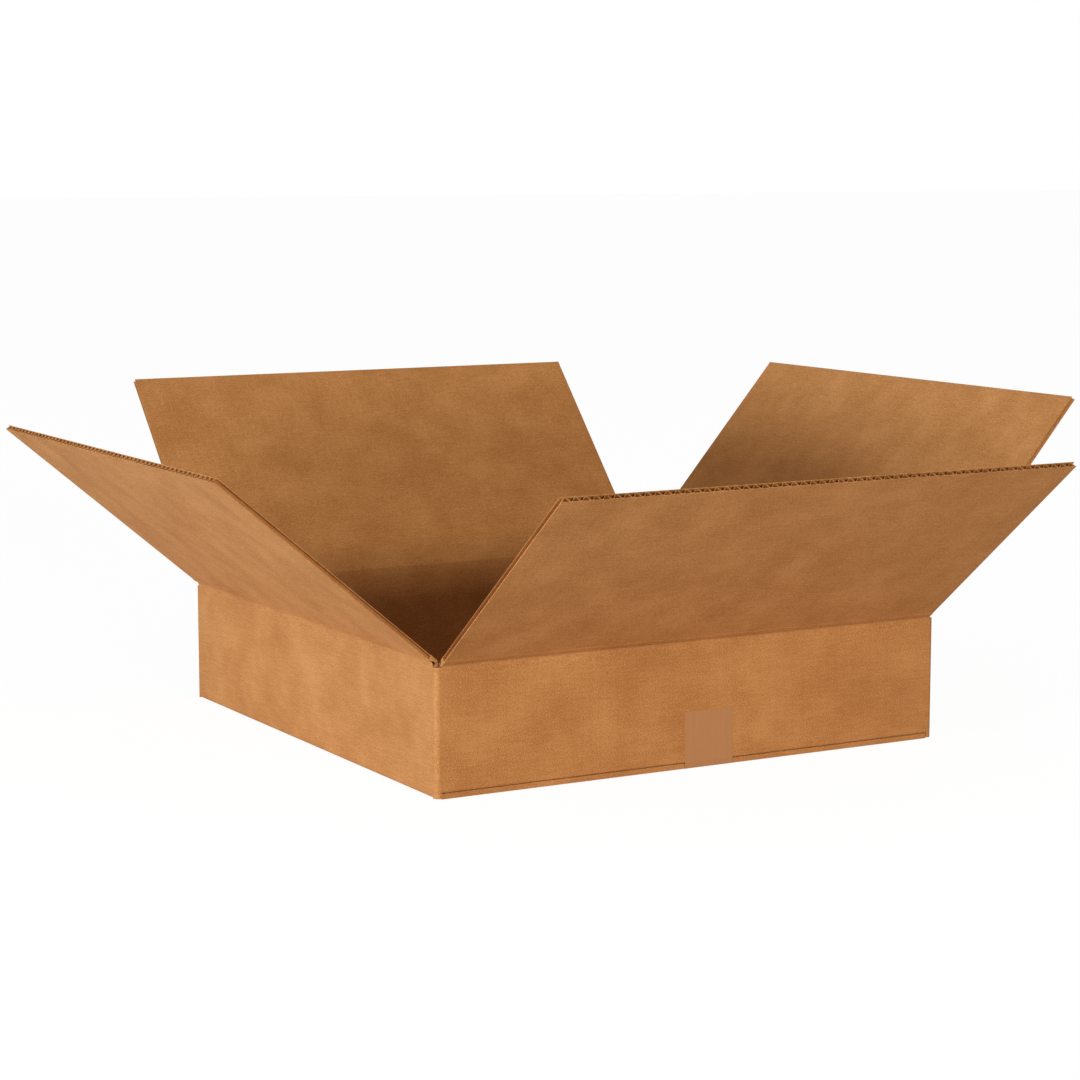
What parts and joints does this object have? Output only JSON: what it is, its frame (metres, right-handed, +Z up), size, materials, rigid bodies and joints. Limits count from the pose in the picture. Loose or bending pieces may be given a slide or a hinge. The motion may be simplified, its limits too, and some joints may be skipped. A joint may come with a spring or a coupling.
{
  "type": "cardboard box",
  "caption": "Low square corrugated shipping box, open at the top, with hinged top flaps folded outward and the bottom closed with tape.",
  "frame": {"origin": "middle of the closed bottom, on the plane that the box stands on; overhanging top flaps tilt by different angles, so this is the middle of the square walls and not of the overall bounding box", "axes": "+X to the right along the taped front wall, +Y from the front wall to the back wall, +Z up through the open top"},
  "size_m": [0.877, 0.8921, 0.3105],
  "materials": {
    "kraft_board": "matte kraft liner, unprinted",
    "fluted_kraft": "matte kraft liners over a fluted paper medium",
    "packing_tape": "thin clear film over kraft, low sheen"
  },
  "bodies": {
    "box": {"box_body": "kraft_board", "bottom_tape": "packing_tape"},
    "front_flap": {"front_flap": "fluted_kraft"},
    "back_flap": {"back_flap": "fluted_kraft"},
    "left_flap": {"left_flap": "fluted_kraft"},
    "right_flap": {"right_flap": "fluted_kraft"}
  },
  "joints": [
    {"name": "front_crease", "type": "hinge", "parent": "box", "child": "front_flap", "pos_m": [0, -0.25755, 0.11445], "axis": [1, 0, 0], "range_deg": [-141.5, 63.5]},
    {"name": "back_crease", "type": "hinge", "parent": "box", "child": "back_flap", "pos_m": [0, 0.25755, 0.11445], "axis": [-1, 0, 0], "range_deg": [-132.7, 72.3]},
    {"name": "left_crease", "type": "hinge", "parent": "box", "child": "left_flap", "pos_m": [-0.25525, 0, 0.11725], "axis": [0, -1, 0], "range_deg": [-139.9, 65.1]},
    {"name": "right_crease", "type": "hinge", "parent": "box", "child": "right_flap", "pos_m": [0.25525, 0, 0.11725], "axis": [0, 1, 0], "range_deg": [-130.9, 74.1]}
  ]
}
